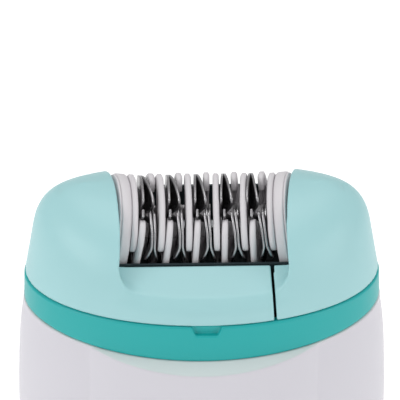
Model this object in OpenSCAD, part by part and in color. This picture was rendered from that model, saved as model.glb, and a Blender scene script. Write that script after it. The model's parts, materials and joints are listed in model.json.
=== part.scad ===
// Corded epilator: an oval handle with a motor and gear train, and a lift-off
// head that carries a drum of tilted tweezing discs.
// Frame: origin at the centre of the resting face, +Z up, the drum lies along X,
// the front with the switch faces -Y.

/* [Handle] */
// Height of the joint between the head and the handle
seam_z = 118; // [116:0.5:120]
// Half width of the handle at the joint with the head
ring_half_w = 33; // [32:0.5:34]
// Half depth of the handle at the joint with the head
ring_half_d = 21; // [20.5:0.5:22]
// Height of the coloured trim ring
ring_h = 6.2; // [6:0.1:6.4]
// Wall thickness of the handle shells
handle_wall = 1.8; // [1.6:0.1:2]
// How far the handle bulges out in front, below the trim ring
front_bulge = 2.8; // [1.5:0.1:3]

/* [Head] */
// Height of the head above the joint
head_h = 18.3; // [18:0.1:19]
// Wall thickness of the head shells
head_wall = 1.6; // [1.4:0.1:1.7]
// Half length of the drum opening, front to back
opening_half_d = 11.5; // [11.4:0.1:12]
// Height of the opening's front and back lips above the joint
lip_h = 7.2; // [7:0.1:7.4]
// Where the head splits into its main and side shells
split_x = 12.8; // [12:0.1:13]
// Gap along that split
split_gap = 0.4; // [0.2:0.1:0.5]

/* [Drum] */
// Height of the drum axis above the joint
drum_rise = 8.4; // [8.3:0.1:8.6]
// Radius over the white discs
disc_r = 10.3; // [10:0.1:10.4]
// Distance between neighbouring white discs on the axle
station_pitch = 2.73; // [2.65:0.01:2.88]
// Number of white discs between the two end discs
station_count = 11; // [11:2:11]
// Place of the end discs on the axle
end_x = 16.3; // [16.2:0.1:16.4]
// Tilt of the end discs, the others tilt in proportion to their place
end_tilt = 13.2; // [12.5:0.1:13.4]
// Direction in which the discs close on each other, above the front horizon
pinch_angle = 52; // [45:1:58]
// Thickness of the white discs
disc_t = 1.05; // [0.9:0.05:1.1]
// Thickness of the end discs
end_disc_t = 1.9; // [1.7:0.1:2]
// Thickness of the metal tweezer discs
blade_t = 0.3; // [0.25:0.05:0.3]

/* [Drive] */
// Gear module of the three spur gears
spur_module = 0.6; // [0.6:0.1:0.6]
// Teeth on each spur gear
spur_teeth = 18; // [18:2:18]
// Gear module of the pinion and the crown wheel
pinion_module = 0.5; // [0.5:0.1:0.5]
// Teeth on the motor pinion
pinion_teeth = 9; // [9:1:9]
// Teeth on the crown wheel
crown_teeth = 36; // [36:1:36]
// Width of the spur gears
spur_w = 2.6; // [2.2:0.1:2.8]
// Left face of the spur gears
spur_x = 22.2; // [22.1:0.1:22.4]
// Radius of the motor can
motor_r = 12.1; // [11:0.1:12.2]
// Length of the motor can
motor_l = 31; // [28:1:32]

/* [Hidden] */

// Colours
white_plastic = "#DAD9E0";
teal_plastic = "#36B1B0";
mint_plastic = "#A9D3D7";
disc_white = "#CAC7CA";
dark_plastic = "#15191D";
grey_plastic = "#8C9499";
steel = "#9AA0A6";
dark_steel = "#5C6268";
brass_colour = "#C8A75A";
board_green = "#1F6B45";

// Smoothness and small overlaps
outline_points = 48;
bore_fn = 48;
slice_t = 0.01;
cut = 0.1;
press_gap = 0.01;
run_gap = 0.05;

// Heights along the drive train
drum_z = seam_z + drum_rise;
spur_r = spur_module * spur_teeth / 2;
spur_gap = 2 * spur_r;
idler_z = drum_z - spur_gap;
shaft_z = idler_z - spur_gap;
crown_r = pinion_module * crown_teeth / 2;
pinion_r = pinion_module * pinion_teeth / 2;
pinion_z = shaft_z - crown_r;
pinion_l = 3;
frame_z = pinion_z - 3.8;
frame_t = 1.6;
motor_base_z = frame_z - motor_l;
ring_bottom_z = seam_z - ring_h;
deck_t = 1.4;
deck_z = ring_bottom_z - deck_t;

// Handle outline: height, half width, half depth in front, half depth behind,
// bulge of the front face
HANDLE_LEVELS = [
    [0, 20.5, 12.8, 12.8, 0],
    [1.2, 22, 14.2, 14.2, 0],
    [5, 23.6, 15.4, 15.4, 0],
    [18, 25.8, 16.4, 16.4, 0],
    [38, 29.4, 18.2, 18.2, 0.2],
    [58, 32.9, 20.2, 20, 0.8],
    [74, 34.9, 21.6, 21.2, 1.6],
    [90, 35.1, 22.2, 21.8, 2.3],
    [102, 34.5, 22.3, 21.9, front_bulge],
    [ring_bottom_z - 1.6, 34.1, 22.3, 22, front_bulge],
    [ring_bottom_z - 0.02, 33.6, 22.2, 21.6, 0],
];
bulge_half_w = 21;

// Head outline: height above the joint and how far the side has come in there
HEAD_LEVELS = [
    [0, 0], [3, 0.57], [6, 1.13], [9, 1.7], [11.5, 2.3], [13.6, 3.2],
    [15.2, 4.6], [16.4, 6.6], [17.3, 9], [18, 11.8], [18.28, 14],
];
head_power = 2.2;

// One closed outline: half width a, half depth f in front and r behind, and a
// bulge b in the middle of the front
function spow(v, p) = sign(v) * pow(abs(v), p);
function bulge(x, b) = abs(x) < bulge_half_w ? b * pow(1 - pow(x / bulge_half_w, 2), 0.8) : 0;
function outline(a, f, r, b, n = 2) = [
    for (i = [0 : outline_points - 1])
        let (
            t = 360 * i / outline_points,
            x = a * spow(cos(t), 2 / n),
            y = spow(sin(t), 2 / n)
        )
        [x, y < 0 ? y * f - bulge(x, b) : y * r]
];

module slice(z, points) {
    translate([0, 0, z]) linear_extrude(slice_t) polygon(points);
}

// The handle's outer body, or its cavity when inset by the wall
module handle_body(inset) {
    for (i = [0 : len(HANDLE_LEVELS) - 2]) {
        hull() {
            for (level = [HANDLE_LEVELS[i], HANDLE_LEVELS[i + 1]]) {
                slice(level[0], outline(
                    level[1] - inset, level[2] - inset, level[3] - inset, level[4]
                ));
            }
        }
    }
}

// Everything on one side of a plane across Y
module half_space_y(front) {
    size = 200;
    translate([-size / 2, front ? -size : 0, -size / 4]) cube(size);
}

// ---- handle shells ----
shell_gap = 0.04;
switch_z = 63;
switch_travel = 8;
knob_z = switch_z - switch_travel / 2;
recess_half_w = 6.2;
recess_half_h = 11.4;
recess_y = -20.5;
pocket_t = 0.9;
slot_half_w = 2.1;
slot_half_h = 7;
button_z = 103;
button_half_w = 5.5;
button_half_h = 3.2;
shell_screw_x = 12;
shell_screw_z = 25;
screw_boss_r = 3.1;
screw_boss_l = 14.5;
screw_r = 1.1;
screw_sink_r = 2.4;
screw_head_y = 13;
shell_screw_l = 20;
button_gap = 0.2;

module shell_bosses(front) {
    for (side = [-1, 1]) {
        translate([side * shell_screw_x, 0, shell_screw_z]) {
            rotate([front ? 90 : -90, 0, 0]) {
                cylinder(r = screw_boss_r, h = screw_boss_l, $fn = 24);
            }
        }
    }
}

// The block behind the switch recess that gives the recess its floor
module switch_pocket() {
    half_w = recess_half_w + 1.1;
    half_h = recess_half_h + 1.1;
    translate([-half_w, -40, switch_z - half_h]) {
        cube([2 * half_w, 40 + recess_y + pocket_t, 2 * half_h]);
    }
}

module handle_shell(front) {
    difference() {
        union() {
            difference() {
                handle_body(0);
                difference() {
                    translate([0, 0, -cut]) handle_body(handle_wall);
                    switch_pocket();
                }
                translate([0, 0, ring_bottom_z - 1]) {
                    linear_extrude(2) polygon(outline(31.9, 20.6, 20.2, 0));
                }
                linear_extrude(2, center = true) polygon(outline(19, 11.3, 11.3, 0));
            }
            shell_bosses(front);
        }
        half_space_y(!front);
        translate([-50, front ? -shell_gap : 0, -cut]) cube([100, shell_gap, 200]);
        shell_cutouts(front);
    }
}

module shell_cutouts(front) {
    for (side = [-1, 1]) {
        translate([side * shell_screw_x, 0, shell_screw_z]) {
            rotate([-90, 0, 0]) {
                translate([0, 0, screw_head_y - shell_screw_l - 2]) {
                    cylinder(r = screw_r, h = 60, $fn = 24);
                }
                translate([0, 0, screw_head_y]) cylinder(r = screw_sink_r, h = 40, $fn = 24);
            }
        }
    }
    if (front) {
        translate([-recess_half_w, -40, switch_z - recess_half_h]) {
            cube([2 * recess_half_w, 40 + recess_y, 2 * recess_half_h]);
        }
        translate([-slot_half_w, -40, switch_z - slot_half_h]) {
            cube([2 * slot_half_w, 38, 2 * slot_half_h]);
        }
    } else {
        translate([-button_half_w - button_gap, 5, button_z - button_half_h - button_gap]) {
            cube([2 * (button_half_w + button_gap), 30, 2 * (button_half_h + button_gap)]);
        }
    }
}

module handle_front_shell() { color(white_plastic) handle_shell(true); }
module handle_back_shell() { color(white_plastic) handle_shell(false); }

// ---- trim ring, with the finger notch in the middle of its front edge ----
ring_wall = 1.7;
notch_half_w = 2.8;
notch_depth = 1.7;

module trim_ring() {
    color(teal_plastic) {
        difference() {
            hull() {
                slice(ring_bottom_z + 0.03, outline(33.4, 22.2, 21.6, 0));
                slice(seam_z - 0.05, outline(ring_half_w, ring_half_d, ring_half_d, 0));
            }
            translate([0, 0, ring_bottom_z - cut]) linear_extrude(ring_h + 1) {
                polygon(outline(
                    ring_half_w - ring_wall, ring_half_d - ring_wall, ring_half_d - ring_wall, 0
                ));
            }
            translate([-notch_half_w, -ring_half_d - 3, seam_z - notch_depth]) {
                cube([2 * notch_half_w, 3.8, notch_depth + 1]);
            }
        }
    }
}

// ---- deck that closes the handle below the head ----
deck_half_w = 31.6;
deck_half_d = 20;
deck_screw_x = 28.6;
pin_lug_x = [20.6, 25.3];
idler_slot_half = 5.2;

module head_deck() {
    color(dark_plastic) {
        difference() {
            translate([0, 0, deck_z]) linear_extrude(deck_t - 0.05) {
                polygon(outline(deck_half_w, deck_half_d, deck_half_d, 0));
            }
            translate([1.2, -8.2, deck_z - cut]) cube([5, 16.4, deck_t + 1]);
            translate([spur_x - 0.4, -idler_slot_half, deck_z - cut]) {
                cube([spur_w + 0.8, 2 * idler_slot_half, deck_t + 1]);
            }
            translate([-4.6, latch_y - 1.6, deck_z - cut]) cube([9.2, 3.4, deck_t + 1]);
            for (side = [-1, 1]) {
                translate([side * deck_screw_x, 0, deck_z - cut]) {
                    cylinder(r = 1, h = deck_t + 1, $fn = bore_fn);
                }
            }
        }
    }
}

module deck_screws() {
    color(steel) {
        for (side = [-1, 1]) {
            translate([side * deck_screw_x, 0, deck_z + deck_t]) pan_screw(1.8, 0.9, 3.4);
        }
    }
}

// A pan-head screw whose head sits on z = 0, pointing down
module pan_screw(head_r, shank_r, l) {
    difference() {
        union() {
            cylinder(r = head_r, h = 1.1, $fn = bore_fn);
            translate([0, 0, -l]) cylinder(r = shank_r, h = l + cut, $fn = bore_fn);
        }
        for (a = [0, 90]) {
            rotate(a) translate([-head_r * 0.6, -0.22, 0.5]) cube([head_r * 1.2, 0.44, 1]);
        }
    }
}

// ---- base cap with the power socket opening ----
cap_t = 2.4;
socket_r = 3.3;

module base_cap() {
    color(white_plastic) {
        difference() {
            union() {
                linear_extrude(cap_t) polygon(outline(18.9, 11.2, 11.2, 0));
                translate([0, 0, cap_t - cut]) cylinder(r = 7, h = 2, $fn = bore_fn);
            }
            translate([0, 0, -1]) cylinder(r = socket_r + 0.3, h = 20, $fn = bore_fn);
            translate([0, 0, cap_t]) cylinder(r = 5.6, h = 10, $fn = bore_fn);
        }
    }
}

module shell_screws() {
    color(steel) {
        for (side = [-1, 1]) {
            translate([side * shell_screw_x, screw_head_y, shell_screw_z]) rotate([-90, 0, 0]) {
                pan_screw(2.1, screw_r - 0.1, shell_screw_l);
            }
        }
    }
}

// ---- switch: a ribbed knob on a stem that moves a carrier with two wipers ----
knob_front_y = -22.7;
knob_t = 2;
knob_w = 10;
knob_h = 14;
rib_pitch = 2.2;
stem_w = 3.6;
stem_h = 5.2;
carrier_y = -17.4;
carrier_w = 8.4;
carrier_h = 10;
carrier_t = 1.2;
wiper_x = 3;
wiper_t = 1.2;

module switch_knob() {
    color(white_plastic) {
        difference() {
            union() {
                translate([-knob_w / 2, knob_front_y, knob_z - knob_h / 2]) {
                    cube([knob_w, knob_t, knob_h]);
                }
                translate([-stem_w / 2, -21, knob_z - stem_h / 2]) {
                    cube([stem_w, 21 + carrier_y - 0.4, stem_h]);
                }
            }
            for (i = [-2 : 2]) {
                translate([0, knob_front_y - 0.3, knob_z + rib_pitch * i]) rotate([0, 90, 0]) {
                    cylinder(r = 0.7, h = knob_w + 2, center = true, $fn = 24);
                }
            }
        }
    }
}

module switch_carrier() {
    hole_w = stem_w + 0.04;
    hole_h = stem_h + 0.04;
    color(dark_plastic) {
        difference() {
            translate([-carrier_w / 2, carrier_y - 0.8, knob_z - carrier_h / 2]) {
                cube([carrier_w, carrier_t, carrier_h]);
            }
            translate([-hole_w / 2, carrier_y - 1, knob_z - hole_h / 2]) cube([hole_w, 2, hole_h]);
        }
        for (side = [-1, 1]) {
            translate([side * wiper_x - wiper_t / 2, carrier_y + 0.35, knob_z - 1]) {
                cube([wiper_t, 1.2, 2]);
            }
        }
    }
}

board_y = -14;

module switch_body() {
    color(grey_plastic) {
        difference() {
            translate([-6, board_y - 2.6, switch_z - 7]) cube([12, 2.55, 14]);
            for (side = [-1, 1]) {
                translate([side * wiper_x - 0.9, board_y - 4, switch_z - 5.4]) {
                    cube([1.8, 3.4, 10.8]);
                }
            }
        }
    }
}

board_size = [22, 1.4, 36];
board_z = 38;

module circuit_board() {
    color(board_green) {
        translate([-board_size[0] / 2, board_y, board_z]) cube(board_size);
        translate([-7, board_y - 1.8, 42]) cube([5, 1.85, 7]);
        translate([3, board_y - 1.5, 43]) cube([4, 1.55, 4]);
        translate([0, board_y + 1.35, 50]) cube([7, 2, 4]);
    }
}

// ---- motor ----
motor_flat = 18.3;
can_wall = 1.4;
shaft_r = 1;

module motor_profile(r) {
    intersection() {
        circle(r = r, $fn = 72);
        square([2 * motor_r, motor_flat - 2 * (motor_r - r)], center = true);
    }
}

module motor_can() {
    color(steel) {
        difference() {
            union() {
                translate([0, 0, motor_base_z]) linear_extrude(motor_l - 0.05) motor_profile(motor_r);
                translate([0, 0, frame_z - cut]) cylinder(r = 3, h = 1.3, $fn = bore_fn);
            }
            translate([0, 0, motor_base_z - cut]) {
                linear_extrude(motor_l - can_wall) motor_profile(motor_r - can_wall);
            }
            translate([0, 0, frame_z - 5]) cylinder(r = shaft_r + run_gap, h = 10, $fn = bore_fn);
            for (side = [-1, 1]) {
                translate([0, side * motor_screw_y, frame_z - 5]) {
                    cylinder(r = motor_screw_r + 0.02, h = 10, $fn = bore_fn);
                }
            }
        }
    }
}

motor_screw_y = 6;
motor_screw_r = 0.8;

module motor_end_cap() {
    color(dark_plastic) {
        difference() {
            union() {
                translate([0, 0, motor_base_z - 1.6]) linear_extrude(1.6) motor_profile(motor_r);
                translate([0, 0, motor_base_z - 0.05]) {
                    linear_extrude(2) motor_profile(motor_r - can_wall - 0.05);
                }
                translate([0, 0, motor_base_z - 3.4]) cylinder(r = 3.2, h = 2, $fn = bore_fn);
            }
            translate([0, 0, motor_base_z - 2.6]) {
                cylinder(r = shaft_r + run_gap, h = 10, $fn = bore_fn);
            }
        }
        for (side = [-1, 1]) {
            translate([side * 7 - 0.9, -0.25, motor_base_z - 4.6]) cube([1.8, 0.5, 3.1]);
        }
    }
}

module motor_shaft() {
    low = motor_base_z - 2.5;
    high = pinion_z + pinion_l / 2 + 0.4;
    color(steel) translate([0, 0, low]) cylinder(r = shaft_r, h = high - low, $fn = bore_fn);
}

module motor_armature() {
    color(brass_colour) {
        difference() {
            translate([0, 0, motor_base_z + 8]) cylinder(r = 7.2, h = 14, $fn = bore_fn);
            translate([0, 0, motor_base_z + 7]) {
                cylinder(r = shaft_r + press_gap, h = 20, $fn = bore_fn);
            }
            for (a = [0, 120, 240]) {
                rotate(a) translate([6, -0.6, motor_base_z + 7]) cube([3, 1.2, 20]);
            }
        }
    }
}

// ---- gears ----
pressure_angle = 20;
tooth_play = 0.2;

function inv(a) = tan(a) * 180 / PI - a;
function flank_angle(r, rb) = inv(acos(min(1, rb / max(r, rb))));
// Half angle of a tooth at radius r
function tooth_half(r, m, z) =
    let (rp = m * z / 2, rb = rp * cos(pressure_angle))
    90 / z - (tooth_play / 2 / rp) * (180 / PI) + inv(pressure_angle) - flank_angle(r, rb);
function tooth_outline(m, z, a) =
    let (
        rp = m * z / 2,
        r_root = rp - 1.2 * m,
        radii = [r_root, rp - 0.55 * m, rp, rp + 0.5 * m, rp + 0.92 * m]
    )
    concat(
        [for (r = radii) r * [cos(a - tooth_half(r, m, z)), sin(a - tooth_half(r, m, z))]],
        [for (i = [4 : -1 : 0]) let (r = radii[i])
            r * [cos(a + tooth_half(r, m, z)), sin(a + tooth_half(r, m, z))]]
    );

module spur_profile(m, z) {
    polygon([for (i = [0 : z - 1]) each tooth_outline(m, z, 360 * i / z)]);
}

// A spur gear whose axis is X, its left face at x
module spur_gear(x, z, bore) {
    translate([x, 0, z]) rotate([90, 0, 90]) {
        difference() {
            linear_extrude(spur_w) spur_profile(spur_module, spur_teeth);
            translate([0, 0, -1]) cylinder(r = bore, h = spur_w + 2, $fn = bore_fn);
        }
    }
}

module motor_pinion() {
    color(brass_colour) {
        translate([0, 0, pinion_z - pinion_l / 2]) {
            difference() {
                rotate(180 / pinion_teeth) linear_extrude(pinion_l) {
                    spur_profile(pinion_module, pinion_teeth);
                }
                translate([0, 0, -1]) {
                    cylinder(r = shaft_r + press_gap, h = pinion_l + 2, $fn = bore_fn);
                }
            }
        }
    }
}

module motor_screws() {
    color(steel) {
        for (side = [-1, 1]) {
            translate([0, side * motor_screw_y, frame_z + frame_t]) {
                pan_screw(1.5, motor_screw_r, 2.8);
            }
        }
    }
}

// Crown wheel: its teeth face the pinion, along -X
crown_face = 1.2;
crown_tip_x = pinion_r - 0.35;
crown_root_x = pinion_r + 0.75;
crown_back_x = crown_root_x + 2.2;
shaft_bore_r = 1.25;

module crown_gear() {
    tip_half = 0.14;
    root_half = 0.46;
    color(disc_white) {
        translate([0, 0, shaft_z]) {
            difference() {
                translate([crown_root_x, 0, 0]) rotate([0, 90, 0]) {
                    cylinder(r = crown_r + crown_face / 2, h = crown_back_x - crown_root_x, $fn = 72);
                }
                translate([crown_root_x - 1, 0, 0]) rotate([0, 90, 0]) {
                    cylinder(r = shaft_bore_r + press_gap, h = 20, $fn = bore_fn);
                }
                for (i = [0 : 5]) {
                    rotate([60 * i, 0, 0]) translate([crown_root_x - 1, 0, 5]) rotate([0, 90, 0]) {
                        cylinder(r = 1.6, h = 20, $fn = 24);
                    }
                }
            }
            for (i = [0 : crown_teeth - 1]) {
                rotate([360 * i / crown_teeth, 0, 0]) {
                    translate([0, 0, -crown_r - crown_face / 2]) linear_extrude(crown_face) {
                        polygon([
                            [crown_tip_x, -tip_half], [crown_root_x + 0.05, -root_half],
                            [crown_root_x + 0.05, root_half], [crown_tip_x, tip_half],
                        ]);
                    }
                }
            }
        }
    }
}

module countershaft() {
    left = crown_root_x - 0.4;
    right = upright_x[1] + upright_t - 0.2;
    color(steel) {
        translate([left, 0, shaft_z]) rotate([0, 90, 0]) {
            cylinder(r = shaft_bore_r, h = right - left, $fn = bore_fn);
        }
    }
}

module handle_gear() { color(disc_white) spur_gear(spur_x, shaft_z, shaft_bore_r + press_gap); }

// ---- frame that joins the motor and the countershaft ----
upright_x = [8, 26.2];
upright_t = 1.8;
upright_w = 9;
frame_left = -12;
frame_d = 18;
seat_w = 6;
seat_t = 1.6;
spring_y = [12.4, 17.6];
spring_z = 101.2;

module gear_frame() {
    color(grey_plastic) {
        difference() {
            union() {
                translate([frame_left, -frame_d / 2, frame_z]) {
                    cube([upright_x[1] + upright_t - frame_left, frame_d, frame_t]);
                }
                translate([-seat_w / 2, 0, frame_z]) cube([seat_w, spring_y[0], frame_t]);
                for (x = upright_x) {
                    translate([x, -upright_w / 2, frame_z]) {
                        cube([upright_t, upright_w, shaft_z + 3 - frame_z]);
                    }
                }
                translate([-seat_w / 2, spring_y[0] - seat_t, frame_z]) {
                    cube([seat_w, seat_t, spring_z + 3 - frame_z]);
                }
            }
            translate([0, 0, frame_z - 1]) cylinder(r = 3.1, h = 10, $fn = bore_fn);
            for (side = [-1, 1]) {
                translate([0, side * motor_screw_y, frame_z - 1]) {
                    cylinder(r = motor_screw_r + 0.1, h = 10, $fn = bore_fn);
                }
            }
            translate([0, 0, shaft_z]) rotate([0, 90, 0]) {
                cylinder(r = shaft_bore_r + run_gap, h = 60, $fn = bore_fn);
            }
        }
    }
}

// ---- power socket: a thin contact pin on a thicker seat in the housing ----
socket_h = 13;
socket_floor_z = 12.5;
contact_r = 0.825;
contact_z = 3;
seat_r = 1.1;
seat_l = 4.5;

module socket_housing() {
    color(dark_plastic) {
        difference() {
            translate([0, 0, cap_t + 0.05]) cylinder(r = 5.5, h = socket_h, $fn = bore_fn);
            translate([0, 0, -1]) cylinder(r = socket_r, h = socket_floor_z + 1, $fn = bore_fn);
            translate([0, 0, 1]) cylinder(r = seat_r + press_gap, h = 30, $fn = bore_fn);
        }
    }
}

module socket_pin() {
    color(steel) {
        translate([0, 0, contact_z]) {
            cylinder(r = contact_r, h = socket_floor_z - contact_z + cut, $fn = bore_fn);
        }
        translate([0, 0, socket_floor_z]) cylinder(r = seat_r, h = seat_l, $fn = bore_fn);
    }
}

// ---- wires ----
module wire(points) {
    for (i = [0 : len(points) - 2]) {
        hull() {
            translate(points[i]) sphere(r = 0.6, $fn = 10);
            translate(points[i + 1]) sphere(r = 0.6, $fn = 10);
        }
    }
}

module leads() {
    color("#B23A3A") {
        for (side = [-1, 1]) {
            wire([
                [side * 7, 0, motor_base_z - 5.3], [side * 8, -4, motor_base_z - 8],
                [side * 8, -9, motor_base_z - 9], [side * 8, board_y + 2.1, motor_base_z - 9],
            ]);
            wire([
                [side * 3, 0, 16.2], [side * 4, 0, 24], [side * 4, -6, 32],
                [side * 4, board_y + 2.1, 39],
            ]);
        }
    }
}

// ---- release button, its spring and its catch ----
latch_y = 15;

module release_button() {
    color(teal_plastic) {
        translate([-button_half_w, 19.4, button_z - button_half_h]) {
            cube([2 * button_half_w, 3.7, 2 * button_half_h]);
        }
        translate([-button_half_w - 1.3, spring_y[1] + 0.05, button_z - 5]) {
            cube([2 * button_half_w + 2.6, 1.9, 9.4]);
        }
        for (side = [-1, 1]) {
            translate([side * 5.4 - 0.7, latch_y - 2.6, button_z + 1.2]) cube([1.4, 6, 2.6]);
        }
        translate([-6.1, latch_y - 2.6, button_z + 1.2]) cube([12.2, 1.4, 2.6]);
    }
}

// One strip from four turns of wire
module release_spring() {
    turns = 4;
    coil_r = 1.8;
    wire_r = 0.25;
    steps = 14;
    sides = 6;
    count = turns * steps;
    length = spring_y[1] - spring_y[0] - 2 * wire_r - 0.1;
    points = [
        for (i = [0 : count], j = [0 : sides - 1])
            let (a = 360 * i / steps, b = 360 * j / sides, r = coil_r + wire_r * cos(b))
            [
                r * cos(a), spring_y[0] + 0.05 + wire_r + length * i / count + wire_r * sin(b),
                spring_z + r * sin(a),
            ]
    ];
    sides_faces = [
        for (i = [0 : count - 1], j = [0 : sides - 1])
            let (k = (j + 1) % sides)
            each [
                [i * sides + j, i * sides + k, (i + 1) * sides + j],
                [i * sides + k, (i + 1) * sides + k, (i + 1) * sides + j],
            ]
    ];
    color(steel) polyhedron(
        points = points,
        faces = concat(
            sides_faces,
            [[for (j = [sides - 1 : -1 : 0]) j]],
            [[for (j = [0 : sides - 1]) count * sides + j]]
        )
    );
}

// ---- head shells ----
cheek_gap = 0.5;
cheek_x = end_x + end_disc_t / 2 + cheek_gap;
dish_drop = 3.2;
dish_reach = 10;
plate_hole_r = 7.3;
plate_hole_x = 20.3;
plate_hole_l = 11.2;
head_boss = [16, 14];

function head_depth(z) = ring_half_d * sqrt(max(0, 1 - pow(z / head_h, 2)));

// The plain dome of the head, or its cavity when inset by the wall
module head_dome(inset) {
    k = (head_h - inset) / head_h;
    for (i = [0 : len(HEAD_LEVELS) - 2]) {
        hull() {
            for (level = [HEAD_LEVELS[i], HEAD_LEVELS[i + 1]]) {
                depth = max(0.4, k * head_depth(level[0]));
                slice(
                    seam_z + k * level[0],
                    outline(ring_half_w - level[1] - inset, depth, depth, 0, head_power)
                );
            }
        }
    }
}

// Turns and shifts from the drum's middle to a disc at x: its own axis becomes X
module station(x) {
    translate([x, 0, drum_z]) {
        rotate(a = end_tilt * x / end_x, v = [0, -sin(pinch_angle), -cos(pinch_angle)]) children();
    }
}

// The space between the two tilted cheeks of the head, moved out by grow
module between_cheeks(grow) {
    size = 90;
    difference() {
        translate([-size / 2, -size / 2, seam_z - size / 2]) cube(size);
        for (side = [-1, 1]) {
            station(side * end_x) {
                translate([side * (size / 2 + cheek_x - end_x + grow), 0, 0]) {
                    cube([size, 2 * size, 2 * size], center = true);
                }
            }
        }
    }
}

// The scooped space over the drum, widened and lowered by grow
module scoop(grow) {
    intersection() {
        translate([0, 0, seam_z]) rotate([90, 0, 90]) linear_extrude(60, center = true) {
            polygon([
                [-opening_half_d - dish_reach, lip_h - dish_drop - grow], [-opening_half_d, lip_h - grow],
                [opening_half_d, lip_h - grow], [opening_half_d + dish_reach, lip_h - dish_drop - grow],
                [opening_half_d + dish_reach, 30], [-opening_half_d - dish_reach, 30],
            ]);
        }
        between_cheeks(grow);
    }
}

module head_skin() {
    difference() {
        union() {
            difference() {
                head_dome(0);
                difference() {
                    translate([0, 0, -cut]) head_dome(head_wall);
                    scoop(head_wall);
                }
            }
            for (sx = [-1, 1], sy = [-1, 1]) {
                translate([sx * head_boss[0], sy * head_boss[1], base_top_z + 0.05]) {
                    cylinder(r = 2.1, h = 3.2, $fn = 24);
                }
            }
        }
        scoop(0);
        intersection() {
            translate([-30, -opening_half_d, seam_z - 1]) cube([60, 2 * opening_half_d, 30]);
            between_cheeks(0);
        }
        translate([-trough_half - 0.8, -opening_half_d, seam_z - 1]) {
            cube([2 * trough_half + 1.6, 2 * opening_half_d, trough_rim + 1.15 - seam_z]);
        }
        for (side = [-1, 1]) {
            translate([side * plate_hole_x - plate_hole_l / 2, -plate_hole_r, seam_z - 1]) {
                cube([plate_hole_l, 2 * plate_hole_r, drum_rise + 1]);
            }
            translate([side * plate_hole_x - plate_hole_l / 2, 0, drum_z]) rotate([0, 90, 0]) {
                cylinder(r = plate_hole_r, h = plate_hole_l, $fn = 40);
            }
        }
        for (sx = [-1, 1], sy = [-1, 1]) {
            translate([sx * head_boss[0], sy * head_boss[1], seam_z]) {
                cylinder(r = 0.95, h = 4.5, $fn = 24);
            }
        }
    }
}

module head_shell() {
    color(mint_plastic) {
        difference() {
            head_skin();
            translate([split_x - split_gap / 2, -50, 0]) cube([100, 100, 200]);
        }
    }
}

module head_side_shell() {
    color(mint_plastic) {
        difference() {
            head_skin();
            translate([split_x + split_gap / 2 - 100, -50, 0]) cube([100, 100, 200]);
        }
    }
}

// ---- head chassis: floor, drum trough with a higher guard behind the drum,
// idler lugs and latch hook ----
base_t = 1.2;
base_bottom_z = seam_z + 0.3;
base_top_z = base_bottom_z + base_t;
trough_r = 10.8;
trough_t = 0.6;
trough_half = 19.9;
trough_rim = seam_z + 7.3;
guard_rim = drum_z + 3;
guard_half = 17;
lug_half = 3;
lug_t = 1.2;
pin_r = 1;
hook_w = 8;
hook_t = 1;
hook_z = button_z + 2.4;

module x_cylinder(r, x0, x1, z) {
    translate([x0, 0, z]) rotate([0, 90, 0]) cylinder(r = r, h = x1 - x0, $fn = 72);
}

module head_chassis() {
    color(dark_plastic) {
        difference() {
            union() {
                translate([0, 0, base_bottom_z]) linear_extrude(base_t) {
                    polygon(outline(30.6, 18.6, 18.6, 0));
                }
                difference() {
                    x_cylinder(trough_r + trough_t, -trough_half - 0.6, trough_half + 0.6, drum_z);
                    translate([-40, -20, trough_rim]) cube([80, 40, 40]);
                }
                intersection() {
                    x_cylinder(trough_r + trough_t, -guard_half, guard_half, drum_z);
                    translate([-40, 5, trough_rim - 1]) cube([80, 20, guard_rim - trough_rim + 1]);
                }
                for (x = [pin_lug_x[0], pin_lug_x[1]]) {
                    translate([x, -lug_half, idler_z - lug_half]) {
                        cube([lug_t, 2 * lug_half, base_bottom_z - idler_z + lug_half + 0.1]);
                    }
                }
                translate([-hook_w / 2, latch_y, hook_z]) {
                    cube([hook_w, hook_t, base_bottom_z - hook_z + 0.1]);
                }
                translate([-hook_w / 2, latch_y - 1.1, hook_z]) cube([hook_w, 1.2, 1.2]);
            }
            x_cylinder(trough_r, -trough_half, trough_half, drum_z);
            x_cylinder(5, -30, 30, drum_z);
            translate([spur_x - 0.3, -6.3, base_bottom_z - 1]) cube([spur_w + 0.6, 12.6, 5]);
            translate([pin_lug_x[0] - 1, 0, idler_z]) rotate([0, 90, 0]) {
                cylinder(r = pin_r + press_gap, h = 10, $fn = bore_fn);
            }
            for (sx = [-1, 1], sy = [-1, 1]) {
                translate([sx * head_boss[0], sy * head_boss[1], seam_z - 1]) {
                    cylinder(r = 1, h = 10, $fn = bore_fn);
                }
            }
        }
    }
}

module head_screws() {
    color(steel) {
        for (sx = [-1, 1], sy = [-1, 1]) {
            translate([sx * head_boss[0], sy * head_boss[1], base_bottom_z]) {
                mirror([0, 0, 1]) pan_screw(1.6, 0.9, 4);
            }
        }
    }
}

// ---- bearing plates, each with a wedge collar that sets the end disc's tilt ----
plate_x = trough_half + 0.65;
plate_t = 1.2;
plate_r = 6.4;
journal_r = 1.25;
collar_r = 3.4;
collar_gap = 0.25;

module bearing_plate(side) {
    mirror([side < 0 ? 1 : 0, 0, 0]) {
        difference() {
            union() {
                translate([plate_x, 0, 0]) rotate([90, 0, 90]) linear_extrude(plate_t) {
                    translate([0, drum_z]) circle(r = plate_r, $fn = 72);
                    translate([-plate_r, base_top_z + 0.05]) square([2 * plate_r, drum_z - base_top_z]);
                }
                difference() {
                    x_cylinder(collar_r, end_x, plate_x + 0.1, drum_z);
                    station(end_x) {
                        translate([-20 + end_disc_t / 2 + collar_gap, -20, -20]) cube([20, 40, 40]);
                    }
                }
            }
            translate([end_x - 5, 0, drum_z]) rotate([0, 90, 0]) {
                cylinder(r = journal_r + run_gap, h = 20, $fn = bore_fn);
            }
        }
    }
}

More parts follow.
